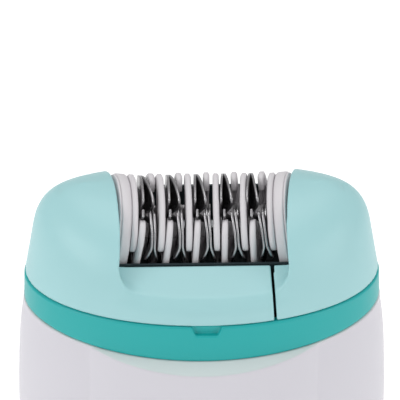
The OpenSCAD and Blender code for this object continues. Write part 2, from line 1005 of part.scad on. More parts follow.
module bearing_plate_left() { color(grey_plastic) bearing_plate(-1); }
module bearing_plate_right() { color(grey_plastic) bearing_plate(1); }

// ---- drum axle, drum gear and idler ----
hex_r = 1.6;
hex_half = 16.8;
hex_gap = 0.4;

module drum_axle() {
    color(steel) {
        translate([-hex_half, 0, drum_z]) rotate([0, 90, 0]) {
            cylinder(r = hex_r, h = 2 * hex_half, $fn = 6);
        }
        translate([-plate_x - plate_t - 0.4, 0, drum_z]) rotate([0, 90, 0]) {
            cylinder(r = journal_r, h = plate_x + plate_t + 0.4 + spur_x + spur_w + 0.5, $fn = bore_fn);
        }
    }
}

module drum_gear() { color(disc_white) spur_gear(spur_x, drum_z, journal_r + press_gap); }

module idler_gear() {
    color(disc_white) {
        translate([0, 0, idler_z]) rotate([180 / spur_teeth, 0, 0]) {
            spur_gear(spur_x, 0, pin_r + run_gap);
        }
    }
}

module idler_pin() {
    color(steel) {
        translate([pin_lug_x[0] - 0.2, 0, idler_z]) rotate([0, 90, 0]) {
            cylinder(r = pin_r, h = pin_lug_x[1] - pin_lug_x[0] + 1.6, $fn = bore_fn);
        }
    }
}

// ---- discs ----
hub_r = 4;
bar_r = 7.4;

// Points along an arc between two angles, measured from the front up
function arc_points(r, a0, a1) = [
    for (i = [0 : 8]) let (a = a0 + (a1 - a0) * i / 8) r * [-cos(a), sin(a)]
];

// A disc cut from one sheet, in its own plane, from x0 to x0 + t
module disc_plate(x0, t) {
    translate([x0, 0, 0]) rotate([90, 0, 90]) linear_extrude(t) difference() {
        children();
        rotate(90) circle(r = hex_r + hex_gap, $fn = 6);
    }
}

module end_disc(side) {
    color(disc_white) {
        station(side * end_x) disc_plate(-end_disc_t / 2, end_disc_t) circle(r = disc_r, $fn = 72);
    }
}

module end_disc_left() { end_disc(-1); }
module end_disc_right() { end_disc(1); }

// Where each disc sits, and the angle at which its first white bar starts:
// odd and even discs carry their two bars a quarter turn apart
function station_x(i) = (i - (station_count + 1) / 2) * station_pitch;
function bar_start(i) = i % 2 == 1 ? 5 : -80;
bar_sweep = 120;
spoke_inset = 30;

// Half of a white disc: hub, one spoke and one curved bar
function bar_points(a) = concat(
    arc_points(hub_r, a - 180 + bar_sweep - spoke_inset, a + spoke_inset),
    arc_points(bar_r, a + spoke_inset, a),
    arc_points(disc_r, a, a + bar_sweep),
    arc_points(bar_r, a + bar_sweep, a + bar_sweep - spoke_inset)
);

module white_disc(i) {
    color(disc_white) {
        station(station_x(i)) disc_plate(-disc_t / 2, disc_t) {
            polygon(concat(bar_points(bar_start(i)), bar_points(bar_start(i) + 180)));
        }
    }
}

// Each tweezer pair is two thin metal discs beside a white disc, with two lobes
// each, just past the ends of that disc's bars
blade_start = [-5, 52];
blade_sweep = [55, 78];
blade_r = 10;
blade_x = [0.72, 1.3];

function lobe_points(a, sweep) = concat(
    arc_points(hub_r, a - 180 + sweep, a),
    arc_points(blade_r, a, a + sweep)
);

module tweezers(i) {
    a = blade_start[i % 2];
    sweep = blade_sweep[i % 2];
    color(dark_steel) {
        station(station_x(i)) {
            for (x = blade_x) {
                disc_plate(x, blade_t) {
                    polygon(concat(lobe_points(a, sweep), lobe_points(a + 180, sweep)));
                }
            }
        }
    }
}

module disc_01() { white_disc(1); }
module disc_02() { white_disc(2); }
module disc_03() { white_disc(3); }
module disc_04() { white_disc(4); }
module disc_05() { white_disc(5); }
module disc_06() { white_disc(6); }
module disc_07() { white_disc(7); }
module disc_08() { white_disc(8); }
module disc_09() { white_disc(9); }
module disc_10() { white_disc(10); }
module disc_11() { white_disc(11); }

module tweezers_01() { tweezers(1); }
module tweezers_02() { tweezers(2); }
module tweezers_03() { tweezers(3); }
module tweezers_04() { tweezers(4); }
module tweezers_05() { tweezers(5); }
module tweezers_06() { tweezers(6); }
module tweezers_07() { tweezers(7); }
module tweezers_08() { tweezers(8); }
module tweezers_09() { tweezers(9); }
module tweezers_10() { tweezers(10); }

handle_front_shell();
handle_back_shell();
trim_ring();
head_deck();
deck_screws();
base_cap();
shell_screws();
switch_knob();
switch_carrier();
switch_body();
circuit_board();
motor_can();
motor_end_cap();
motor_shaft();
motor_armature();
motor_pinion();
motor_screws();
gear_frame();
crown_gear();
countershaft();
handle_gear();
socket_housing();
socket_pin();
leads();
release_button();
release_spring();
head_shell();
head_side_shell();
head_chassis();
head_screws();
bearing_plate_left();
bearing_plate_right();
drum_axle();
drum_gear();
idler_gear();
idler_pin();
end_disc_left();
end_disc_right();
disc_01();
disc_02();
disc_03();
disc_04();
disc_05();
disc_06();
disc_07();
disc_08();
disc_09();
disc_10();
disc_11();
tweezers_01();
tweezers_02();
tweezers_03();
tweezers_04();
tweezers_05();
tweezers_06();
tweezers_07();
tweezers_08();
tweezers_09();
tweezers_10();
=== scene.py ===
import json
import math

import bpy
import numpy as np
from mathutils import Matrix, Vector


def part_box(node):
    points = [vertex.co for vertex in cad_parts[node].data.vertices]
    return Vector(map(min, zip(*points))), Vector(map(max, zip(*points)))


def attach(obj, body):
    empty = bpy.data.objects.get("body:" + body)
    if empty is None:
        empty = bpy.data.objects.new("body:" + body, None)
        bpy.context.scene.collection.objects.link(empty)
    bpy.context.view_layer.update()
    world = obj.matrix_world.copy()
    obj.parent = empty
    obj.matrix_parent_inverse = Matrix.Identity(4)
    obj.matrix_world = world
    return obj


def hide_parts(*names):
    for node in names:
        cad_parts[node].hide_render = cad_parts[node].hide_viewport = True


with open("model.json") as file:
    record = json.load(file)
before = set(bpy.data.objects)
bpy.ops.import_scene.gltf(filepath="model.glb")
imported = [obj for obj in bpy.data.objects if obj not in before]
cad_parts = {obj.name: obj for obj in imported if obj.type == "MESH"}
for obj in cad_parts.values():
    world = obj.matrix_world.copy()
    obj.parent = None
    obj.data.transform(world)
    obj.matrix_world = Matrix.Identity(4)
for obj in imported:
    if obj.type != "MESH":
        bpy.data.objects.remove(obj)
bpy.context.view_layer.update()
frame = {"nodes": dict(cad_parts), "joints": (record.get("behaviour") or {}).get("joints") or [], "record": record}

# Everything below is in millimetres; meshes are written in metres.
MM = 1000.0

# The joint between the ring and the head, where both are ovals of this size
SEAM_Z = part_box("head_shell")[0].z * MM
RING_HALF_W = 33.0
RING_HALF_D = 21.0
HEAD_H = (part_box("head_shell")[1].z * MM) - SEAM_Z
HEAD_WALL = 1.6
RING_BOTTOM_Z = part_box("handle_front_shell")[1].z * MM
HANDLE_WALL = 1.8

JOINTS = {j["name"]: j for j in frame["joints"]}
DRUM_Z = JOINTS["drum_spin"]["pos_m"][2] * MM
END_SPIN = JOINTS["end_right_spin"]
END_X = END_SPIN["pos_m"][0] * MM
STATION_COUNT = 11
DISC_R = 10.28


# ---------------------------------------------------------------- meshes

def mesh_object(name, points, faces, smooth=True):
    """A new object from points in millimetres."""
    mesh = bpy.data.meshes.new(name)
    mesh.from_pydata((np.asarray(points) / MM).tolist(), [], np.asarray(faces).tolist())
    mesh.validate()
    mesh.polygons.foreach_set("use_smooth", [smooth] * len(mesh.polygons))
    obj = bpy.data.objects.new(name, mesh)
    bpy.context.scene.collection.objects.link(obj)
    return obj


def soft_max(a, b, k):
    """The larger of two distances, rounded where they meet over a width k."""
    h = np.maximum(k - np.abs(a - b), 0) / k
    return np.maximum(a, b) + h * h * k / 4


def box_field(x, y, z, low, high, k):
    """Distance to a box with rounded edges, negative inside."""
    dx = np.abs(x - (low[0] + high[0]) / 2) - (high[0] - low[0]) / 2
    dy = np.abs(y - (low[1] + high[1]) / 2) - (high[1] - low[1]) / 2
    dz = np.abs(z - (low[2] + high[2]) / 2) - (high[2] - low[2]) / 2
    return soft_max(soft_max(dx, dy, k), dz, k)


def oval(x, y, half_w, half_d):
    """Distance to an upright oval cylinder, negative inside."""
    return (np.sqrt((x / half_w) ** 2 + (y / half_d) ** 2) - 1) * half_d


def fade(value, low, high):
    """0 below low, 1 above high, smooth between."""
    s = np.clip((value - low) / (high - low), 0, 1)
    return s * s * (3 - 2 * s)


def axis_points(low, high, step, *fine):
    """Grid lines from low to high, closer together inside each (from, to, step) range."""
    points = [low]
    while points[-1] < high:
        here = [f[2] for f in fine if f[0] <= points[-1] < f[1]]
        points.append(points[-1] + (min(here) if here else step))
    return np.array(points)


# The eight corners of a grid cell, and its twelve edges as pairs of corners
CORNERS = [(i, j, k) for i in (0, 1) for j in (0, 1) for k in (0, 1)]
EDGES = [(a, b) for a in CORNERS for b in CORNERS if a < b and sum(np.abs(np.subtract(a, b))) == 1]


def crossing_points(field, axes, cells):
    """For each cell, the mean of the points where the surface crosses its edges."""
    total = np.zeros((len(cells), 3))
    count = np.zeros(len(cells))
    for a, b in EDGES:
        ia, ib = cells + a, cells + b
        va, vb = field[tuple(ia.T)], field[tuple(ib.T)]
        hit = (va < 0) != (vb < 0)
        t = np.where(hit, va / np.where(hit, va - vb, 1), 0)[:, None]
        pa = np.stack([axes[n][ia[:, n]] for n in range(3)], 1)
        pb = np.stack([axes[n][ib[:, n]] for n in range(3)], 1)
        total += np.where(hit[:, None], pa + t * (pb - pa), 0)
        count += hit
    return total / count[:, None]


def quads_across(inside, index, axis):
    """One quad around each grid edge along axis that the surface crosses, facing outwards."""
    u, v = (axis + 1) % 3, (axis + 2) % 3
    low = [slice(1, -1)] * 3
    high = [slice(1, -1)] * 3
    low[axis], high[axis] = slice(0, -1), slice(1, None)
    crossed = inside[tuple(low)] != inside[tuple(high)]
    base = np.argwhere(crossed)
    base[:, u] += 1
    base[:, v] += 1
    out = inside[tuple(base.T)]
    ring = []
    for du, dv in ((1, 1), (0, 1), (0, 0), (1, 0)):
        cell = base.copy()
        cell[:, u] -= du
        cell[:, v] -= dv
        ring.append(index[tuple(cell.T)])
    quads = np.stack(ring, 1)
    quads[~out] = quads[~out][:, ::-1]
    return quads


def settle(points, shape, reach):
    """Moves points onto the surface along its slope."""
    h = 0.02
    for _ in range(4):
        x, y, z = points.T
        value = shape(x, y, z)
        slope = np.stack([
            shape(x + h, y, z) - shape(x - h, y, z),
            shape(x, y + h, z) - shape(x, y - h, z),
            shape(x, y, z + h) - shape(x, y, z - h),
        ], 1) / (2 * h)
        size = np.maximum((slope ** 2).sum(1), 0.05)
        move = np.clip(value / size, -reach, reach)[:, None] * slope
        points = points - np.clip(move, -reach, reach)
    return points


def surface(name, shape, xs, ys, zs):
    """A closed smooth mesh of shape(x, y, z) = 0, negative inside, on the given grid lines."""
    field = np.broadcast_to(
        shape(xs[:, None, None], ys[None, :, None], zs[None, None, :]),
        (len(xs), len(ys), len(zs)),
    ).astype(float)
    inside = field < 0
    total = sum(
        inside[i:len(xs) - 1 + i, j:len(ys) - 1 + j, k:len(zs) - 1 + k].astype(np.int8)
        for i, j, k in CORNERS
    )
    active = (total > 0) & (total < 8)
    cells = np.argwhere(active)
    index = np.full(active.shape, -1)
    index[active] = np.arange(len(cells))
    points = crossing_points(field, (xs, ys, zs), cells)
    reach = 0.4 * min(np.diff(a).min() for a in (xs, ys, zs))
    points = settle(points, shape, reach)
    faces = np.concatenate([quads_across(inside, index, axis) for axis in range(3)])
    return mesh_object(name, points, faces)


def profile(z, knots, column):
    """A smooth curve through one column of a table of (z, ...) rows, without overshoot."""
    t = np.array([k[0] for k in knots], float)
    v = np.array([k[column] for k in knots], float)
    step = np.diff(t)
    rise = np.diff(v) / step
    slope = np.zeros(len(v))
    product = rise[1:] * rise[:-1]
    both = np.where(np.abs(rise[1:] + rise[:-1]) > 1e-9, rise[1:] + rise[:-1], 1)
    slope[1:-1] = np.where(product > 0, 2 * product / both, 0)
    slope[0], slope[-1] = rise[0], rise[-1]
    z = np.clip(z, t[0], t[-1])
    i = np.clip(np.searchsorted(t, z, side="right") - 1, 0, len(step) - 1)
    u = (z - t[i]) / step[i]
    return (
        v[i] * (1 + 2 * u) * (1 - u) ** 2 + slope[i] * step[i] * u * (1 - u) ** 2
        + v[i + 1] * u * u * (3 - 2 * u) + slope[i + 1] * step[i] * u * u * (u - 1)
    )


# ---------------------------------------------------------------- handle

# Height, half width, half depth in front, half depth behind, bulge in front
HALF_W, FRONT, BACK, BULGE = 1, 2, 3, 4
HANDLE_LEVELS = [
    (-0.4, 18.2, 11.2, 11.2, 0), (0, 20.3, 12.7, 12.7, 0), (1.2, 22, 14.2, 14.2, 0),
    (5, 23.6, 15.4, 15.4, 0), (18, 25.8, 16.4, 16.4, 0), (38, 29.4, 18.2, 18.2, 0.2),
    (58, 32.9, 20.2, 20, 0.8), (74, 34.8, 21.6, 21.2, 1.6), (90, 35.05, 22.2, 21.8, 2.3),
    (102, 34.6, 22.3, 21.95, 2.8), (107, 34.2, 22.3, 21.9, 2.8), (112, 33.5, 22.25, 21.65, 2.8),
]
BULGE_HALF_W = 21.0
LEDGE_SLOPE = 0.5

# Half width of the ring at its lower edge, half depth in front and behind
RING_OUTER = (33.4, 22.2, 21.6)
RING_DIP = 0.5
RING_SIDE_RISE = 1.05

SHELL_GAP = 0.07
TOP_WALL = 1.6
TOP_MOUTH = (31.9, 20.4)
TOP_MOUTH_H = 4
BASE_MOUTH = (19.0, 11.3)
BASE_MOUTH_H = 2.6

# Boxes cut from the housings, each from its low corner to its high corner
BUTTON_HOLE = ((-5.75, 5, 99.55), (5.75, 40, 106.45))
SWITCH_Z = 63.0
SWITCH_RECESS = ((-6.2, -40, SWITCH_Z - 11.4), (6.2, -20.5, SWITCH_Z + 11.4))
SWITCH_POCKET = ((-7.3, -40, SWITCH_Z - 12.5), (7.3, -19.6, SWITCH_Z + 12.5))
SWITCH_SLOT = ((-2.1, -40, SWITCH_Z - 7), (2.1, -10, SWITCH_Z + 7))

SHELL_SCREW_X = 12
SHELL_SCREW_Z = 25
SHELL_SCREW_R = 2.5


def bulge(x, z):
    """How far the front of the handle stands out past its oval."""
    across = np.clip(1 - (x / BULGE_HALF_W) ** 2, 0, 1)
    return profile(z, HANDLE_LEVELS, BULGE) * across ** 0.8


def handle_side(x, y, z, inset):
    """Distance to the handle's side wall, moved in by inset."""
    half_w = profile(z, HANDLE_LEVELS, HALF_W) - inset
    front = profile(z, HANDLE_LEVELS, FRONT) - inset
    back = profile(z, HANDLE_LEVELS, BACK) - inset
    y = np.where(y < 0, np.minimum(y + bulge(x, z), 0) / front, y / back)
    return (np.sqrt((x / half_w) ** 2 + y ** 2) - 1) * front


def ring_drop(x, y):
    """How far the ring's lower edge dips at the middle of the front; less than 0 at the sides."""
    front = np.clip(-y / 12, 0, 1)
    middle = RING_DIP * front * front * (3 - 2 * front) * np.clip(1 - (x / 30) ** 2, 0, 1)
    return middle - RING_SIDE_RISE * np.clip(np.abs(x) / RING_OUTER[0], 0, 1.1) ** 2


def handle_top(x, y, z):
    """Distance to the top of the handle, which slopes away outside the ring."""
    depth = np.where(y < 0, RING_OUTER[1], RING_OUTER[2])
    outside = oval(x, y, RING_OUTER[0], depth)
    top = RING_BOTTOM_Z - ring_drop(x, y) - LEDGE_SLOPE * np.clip(outside, 0, 4)
    return (z - top) * 0.9


def handle_shell(x, y, z, front):
    """The front or the back housing: a wall round one cavity, parted at y = 0."""
    outer = soft_max(handle_side(x, y, z, 0), handle_top(x, y, z), 0.25)
    outer = soft_max(outer, -z, 0.5)
    cavity = soft_max(handle_side(x, y, z, HANDLE_WALL), handle_top(x, y, z) + TOP_WALL, 0.3)
    if front:
        cavity = soft_max(cavity, -box_field(x, y, z, *SWITCH_POCKET, 0.5), 0.3)
    shell = soft_max(outer, -cavity, 0.2)
    mouth = oval(x, y, *TOP_MOUTH)
    shell = soft_max(shell, -soft_max(mouth, RING_BOTTOM_Z - TOP_MOUTH_H - z, 0.3), 0.2)
    base = oval(x, y, *BASE_MOUTH)
    shell = soft_max(shell, -soft_max(base, z - BASE_MOUTH_H, 0.3), 0.2)
    shell = soft_max(shell, (y if front else -y) + SHELL_GAP, 0.25)
    if front:
        shell = soft_max(shell, -box_field(x, y, z, *SWITCH_RECESS, 0.6), 0.4)
        return soft_max(shell, -box_field(x, y, z, *SWITCH_SLOT, 0.6), 0.2)
    shell = soft_max(shell, -box_field(x, y, z, *BUTTON_HOLE, 0.9), 0.5)
    for side in (-1, 1):
        r = np.hypot(x - side * SHELL_SCREW_X, z - SHELL_SCREW_Z)
        shell = soft_max(shell, np.minimum(SHELL_SCREW_R - r, y + 0 * x), 0.3)
    return shell


def build_handle():
    front = surface(
        "front_housing", lambda x, y, z: handle_shell(x, y, z, True),
        axis_points(-36, 36, 0.7, (-8, 8, 0.4)),
        axis_points(-26.5, 0.6, 0.55, (-26, -19, 0.3), (-0.8, 0.6, 0.12)),
        axis_points(-0.6, 113.8, 0.9, (-1, 2.5, 0.4), (50.8, 75.4, 0.5), (109, 114, 0.22)),
    )
    back = surface(
        "back_housing", lambda x, y, z: handle_shell(x, y, z, False),
        axis_points(-36, 36, 0.7, (-15.5, 15.5, 0.45)),
        axis_points(-0.6, 23.5, 0.55, (-0.6, 0.8, 0.12)),
        axis_points(
            -0.6, 113.8, 0.9, (-1, 2.5, 0.4), (21, 29, 0.4), (98, 108, 0.4), (110, 114, 0.3),
        ),
    )
    for obj, node in ((front, "handle_front_shell"), (back, "handle_back_shell")):
        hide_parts(node)
        dress(obj, "handle", SHELL)


# ---------------------------------------------------------------- ring

RING_WALL = 1.7

# How far the ring's top edge stands outside the head
RING_STEP = 0.16
NOTCH_HALF_W = 2.8
NOTCH_X = 0.4
NOTCH_DEPTH = 1.75
NOTCH_SLANT = 0.42


def ring_shape(x, y, z):
    """The trim ring: leans in towards its top, with a finger notch in front."""
    rise = np.clip((z - RING_BOTTOM_Z) / (SEAM_Z - RING_BOTTOM_Z), -0.2, 1)
    half_w = RING_OUTER[0] + (RING_HALF_W + RING_STEP - RING_OUTER[0]) * rise
    front = RING_OUTER[1] + (RING_HALF_D + RING_STEP - RING_OUTER[1]) * rise
    back = RING_OUTER[2] + (RING_HALF_D + RING_STEP - RING_OUTER[2]) * rise
    depth = np.where(y < 0, front, back)
    outer = (np.sqrt((x / half_w) ** 2 + (y / depth) ** 2) - 1) * front
    in_w, in_d = RING_HALF_W - RING_WALL, RING_HALF_D - RING_WALL
    inner = np.sqrt((x / in_w) ** 2 + (y / in_d) ** 2) - 1
    ring = soft_max(outer, -inner * RING_HALF_D, 0.3)
    ring = soft_max(ring, z - (SEAM_Z - 0.08), 0.35)
    ring = soft_max(ring, RING_BOTTOM_Z + 0.05 - ring_drop(x, y) - z, 0.35)
    slant = np.abs(x - NOTCH_X) - NOTCH_HALF_W - NOTCH_SLANT * (z - SEAM_Z)
    floor = SEAM_Z - NOTCH_DEPTH - z
    notch = soft_max(soft_max(slant, floor, 0.4), y + RING_HALF_D - 0.6, 0.3)
    return soft_max(ring, -notch, 0.25)


def build_ring():
    ring = surface(
        "ring_band", ring_shape,
        axis_points(-34, 34, 0.5, (-4, 4, 0.16)),
        axis_points(-23, 22.4, 0.5, (-23, -17, 0.25)),
        axis_points(RING_BOTTOM_Z - 1.3, SEAM_Z + 0.4, 0.25),
    )
    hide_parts("trim_ring")
    dress(ring, "handle", TEAL)


# ---------------------------------------------------------------- head shells

# The dark line between the two shells
SPLIT_X = 12.9
SPLIT_LEAN = 0.065
SPLIT_GAP = 0.48

# The lips in front of and behind the drum, and the cheeks beside it
LIP_Y = 11.5
LIP_H = 7.2
DISH_SLOPE = 0.32
CHEEK_OFFSET = 1.45

# Room inside the shells for the chassis's trough and for the drum's bearings
TROUGH_HALF_W = 20.7
TROUGH_TOP = 7.5
BEARING_R = 7.3
BEARING_X = 20
BEARING_HALF_W = 6


def dome(x, y, z, half_w, half_d, height):
    """The plain dome over the joint plane; z is measured from that plane."""
    corner = np.clip((z / height - 0.508) / 0.492, 0, 1) ** 2.64
    a = half_w - 0.182 * z - 10.8 * (1 - (1 - corner) ** (1 / 2.64))
    across = 1 - np.abs(x / a) ** (2 + 0.53 * np.clip(z / height, 0, 1))
    up = 1 - (z / height) ** 2
    both = np.where(up < 0, up * np.maximum(across, 0.1), across * up)
    return ((y / half_d) ** 2 - both) * half_d / 2


def cheek_planes(x, y, z):
    """Distance to the space between the tilted cheeks beside the end discs."""
    ax, ay, az = END_SPIN["axis"]
    left, right = [
        (side * x - END_X) * ax + y * ay + (z + SEAM_Z - DRUM_Z) * az - CHEEK_OFFSET
        for side in (-1, 1)
    ]
    return np.maximum(left, right)


def scoop(x, y, z, grow):
    """The space over the drum: above the dished lips and between the cheeks."""
    beyond = np.clip(np.abs(y) - LIP_Y, 0, 30)
    dish = LIP_H - DISH_SLOPE * beyond - grow - z
    corner = 1.2 + 4.3 * fade(beyond, 0.5, 7)
    return soft_max(dish * 0.95, cheek_planes(x, y, z) - grow, corner)


def drum_opening(x, y, z):
    return soft_max(np.abs(y) - LIP_Y + 0 * x, cheek_planes(x, y, z), 2.6)


def head_skin(x, y, z):
    """Both head shells as one: a dome with a wall, scooped out over the drum."""
    z = z - SEAM_Z
    outer = dome(x, y, z, RING_HALF_W, RING_HALF_D, HEAD_H)
    outer = soft_max(outer, -scoop(x, y, z, 0), 0.3 + 2.4 * (1 - fade(z, 3.6, 6.8)))
    k = (HEAD_H - HEAD_WALL) / HEAD_H
    cavity = dome(x, y, z, RING_HALF_W - HEAD_WALL, RING_HALF_D * k, HEAD_H - HEAD_WALL)
    cavity = soft_max(cavity, -scoop(x, y, z, HEAD_WALL), 0.5)
    skin = soft_max(outer, -cavity, 0.2)
    skin = soft_max(skin, -drum_opening(x, y, z), 0.3)
    trough = soft_max(np.abs(x) - TROUGH_HALF_W, np.abs(y) - LIP_Y, 0.2)
    skin = soft_max(skin, -soft_max(trough, z - TROUGH_TOP, 0.2), 0.2)
    bearing = np.hypot(y + 0 * x, z + SEAM_Z - DRUM_Z) - BEARING_R
    bearing = soft_max(bearing, np.abs(np.abs(x) - BEARING_X) - BEARING_HALF_W, 0.2)
    skin = soft_max(skin, -bearing, 0.2)
    return soft_max(skin, 0.06 - z, 0.3)


def split_at(z):
    """Where the two head shells meet."""
    return SPLIT_X - SPLIT_LEAN * (z - SEAM_Z)


def main_half(x, y, z):
    return soft_max(head_skin(x, y, z), x - split_at(z) + SPLIT_GAP / 2, 0.25)


def side_half(x, y, z):
    skin = soft_max(head_skin(x, y, z), split_at(z) + SPLIT_GAP / 2 - x, 0.25)
    notch = soft_max(np.abs(x - split_at(z)) - 0.42, np.abs(np.abs(y) - LIP_Y) - 1.6, 0.2)
    return soft_max(skin, -soft_max(notch, SEAM_Z + 2 - z, 0.2), 0.2)


def build_head():
    ys = axis_points(-21.6, 21.6, 0.34, (-13, -10, 0.2), (10, 13, 0.2))
    zs = axis_points(SEAM_Z - 0.4, SEAM_Z + HEAD_H + 0.5, 0.32, (SEAM_Z + 6, SEAM_Z + 8, 0.2))
    main = surface(
        "head_cover", main_half,
        axis_points(-33.6, 13.6, 0.5, (-19.2, -14, 0.2), (11.2, 13.6, 0.12)), ys, zs,
    )
    side = surface(
        "head_side_cover", side_half,
        axis_points(11.2, 33.6, 0.5, (11.2, 13.6, 0.12), (14, 19.2, 0.2)), ys, zs,
    )
    for obj, node in ((main, "head_shell"), (side, "head_side_shell")):
        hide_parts(node)
        dress(obj, "head", MINT)


# ---------------------------------------------------------------- drum

HUB_R = 4.0
BORE_R = 2.05

# A lobe's height at its tips, and the angle over which a hollow opens
TIP_H = 0.25
HOLLOW_RUN = 8


def station_frame(joint):
    """Maps (along the disc's axis, radius, angle from the front up) to the shared frame."""
    axis = Vector(JOINTS[joint]["axis"])
    turn = np.array(Vector((1, 0, 0)).rotation_difference(axis).to_matrix())
    origin = np.array(JOINTS[joint]["pos_m"]) * MM

    def place(t, r, angle):
        t, r, angle = np.broadcast_arrays(t, r, np.radians(angle))
        local = np.stack([t, -r * np.cos(angle), r * np.sin(angle)], -1)
        return local @ turn.T + origin
    return place


def grid_faces(rows, columns, wrap_rows, wrap_columns):
    """Quads over a grid of points, which may close on itself either way."""
    faces = []
    for i in range(rows if wrap_rows else rows - 1):
        for j in range(columns if wrap_columns else columns - 1):
            a, b = i * columns + j, i * columns + (j + 1) % columns
            c = ((i + 1) % rows) * columns
            faces.append([a, b, c + (j + 1) % columns, c + j])
    return faces


def turned(place, section, steps):
    """A ring turned from a closed section of (radius, place along the axis) points."""
    section = np.array(section)
    angles = np.linspace(0, 360, steps, endpoint=False)
    points = place(section[None, :, 1], section[None, :, 0], angles[:, None]).reshape(-1, 3)
    return points, grid_faces(steps, len(section), True, True)


def turned_ring(place, r0, r1, half_t, edge, steps=48):
    """A flat ring with rounded outer edges."""
    bend = [math.radians(a) for a in (0, 30, 60, 90)]
    section = [(r0, -half_t), (r0 + (r1 - r0) * 0.5, -half_t)]
    section += [
        (r1 - edge + edge * math.sin(b), -half_t + edge - edge * math.cos(b)) for b in bend
    ]
    section += [(r, -t) for r, t in reversed(section)]
    return turned(place, section, steps)


def lobe(place, a0, a1, r_in, r_out, half_t, offset, steps=26, across=8, hollow=None,
         end_t=0.5, rim_t=0.6, square=5):
    """A flat arm of a disc between two angles, with rounded ends and its own bend.

    offset(angle, radius) is its sideways place. hollow = (radius, inset): away from its ends
    the arm starts at r_in, near them at radius. square sets how blunt its tips are.
    """
    u = (1 - np.cos(np.linspace(0, math.pi, steps))) / 2
    angle = a0 + (a1 - a0) * u
    taper = (1 - np.abs(2 * u - 1) ** square) ** 0.5
    inner = np.full(steps, float(r_in))
    if hollow:
        near_end = np.minimum(angle - a0, a1 - angle)
        s = np.clip((near_end - hollow[1]) / HOLLOW_RUN, 0, 1)
        inner = hollow[0] + (r_in - hollow[0]) * s * s * (3 - 2 * s)
    outer = inner + TIP_H + (r_out - inner - TIP_H) * taper
    v = np.linspace(0, 1, across)
    thick = half_t * (end_t + (1 - end_t) * taper)
    lift = np.concatenate([np.ones(across - 1), [rim_t]])
    r = inner[:, None] + (outer - inner)[:, None] * v
    t = offset(angle[:, None], r)
    up = np.stack([t + thick[:, None] * lift, r], -1)
    down = np.stack([t - thick[:, None] * lift, r], -1)[:, ::-1]
    loop = np.concatenate([up, down], 1)
    points = place(loop[..., 0], loop[..., 1], angle[:, None]).reshape(-1, 3)
    n = loop.shape[1]
    faces = grid_faces(steps, n, False, True)
    faces += cap(0, across, n) + [f[::-1] for f in cap((steps - 1) * n, across, n)]
    return points, [f[::-1] for f in faces]


def cap(start, across, n):
    """Closes one end of a lobe with a strip of quads."""
    return [
        [start + i, start + n - 1 - i, start + n - 2 - i, start + i + 1] for i in range(across - 1)
    ]


def solid(name, parts):
    """One object from several parts, each a pair of points and quads."""
    points, faces, start = [], [], 0
    for part_points, part_faces in parts:
        points.append(part_points)
        faces += [[start + v for v in face] for face in part_faces]
        start += len(part_points)
    return mesh_object(name, np.concatenate(points), faces)


WHITE_HALF_T = 0.58
SIDE_STEP = 0.9
SPOKE_R = 7.5

# Where the first bar of an odd and of an even disc starts, and how far each bar reaches
ODD_START = 0
EVEN_START = -84
BAR_SWEEP = 125
BAR_HOLLOW = (7.4, 28)

# How far the rims fan out, as a share of the disc's distance from the middle
OUTWARD = 0.03


def station_x(joint):
    return JOINTS[joint]["pos_m"][0] * MM


def white_disc(index):
    """One white disc: an odd one's bars lean outwards, an even one's bend to either side."""
    body = "station_%02d" % index
    place = station_frame(body + "_spin")
    odd = index % 2 == 1
    first = ODD_START if odd else EVEN_START
    out = OUTWARD * station_x(body + "_spin")
    parts = [turned_ring(place, BORE_R, HUB_R, WHITE_HALF_T, 0.15)]

    def plain(angle, r):
        return out * fade(r, HUB_R, SPOKE_R) + 0 * angle

    def lower(angle, r):
        low = np.clip((40 - angle) / 50, 0, 1)
        return (1.4 * out - SIDE_STEP - 0.5 * low) * fade(r, HUB_R, SPOKE_R)

    def upper(angle, r):
        return SIDE_STEP * fade(r, HUB_R, SPOKE_R) + 0 * angle

    for turn, bend in ((0, plain if odd else lower), (180, plain if odd else upper)):
        parts.append(lobe(
            place, first + turn, first + turn + BAR_SWEEP, HUB_R - 0.4, DISC_R, WHITE_HALF_T, bend,
            steps=40, hollow=BAR_HOLLOW, end_t=0.75, square=10,
        ))
    obj = solid("white_disc_%02d" % index, parts)
    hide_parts("disc_%02d" % index)
    dress(obj, body, DISC)


BLADE_HALF_T = 0.21
BLADE_R = 10.0

# Bends of the two thin discs of a station: angles from the front up, and the
# sideways place of the rim at each
ODD_BENDS = (
    ((56.5, 80, 108, 128), (1.0, 1.1, 1.3, 1.35)),
    ((56.5, 80, 108, 128), (3.05, 2.5, 1.85, 1.55)),
)
EVEN_BENDS = (
    ((-10, 8, 24, 51.5), (-0.1, 0.88, 0.78, 0.2)),
    ((-10, 8, 24, 51.5), (2.3, 1.42, 1.32, 0.97)),
)

# Even stations: sideways places and angles of the pair's lobes behind, and of the tab
# on the first disc. They lean out more than the other rims.
EVEN_REAR = (0.62, 1.3)
REAR_ANGLES = (223.5, 233.5)
TAB_PLACE = -1.0
TAB_ANGLES = (41, 51.5)
EVEN_LEAN = 1.3

BLADE_HUB_T = (0.85, 1.4)


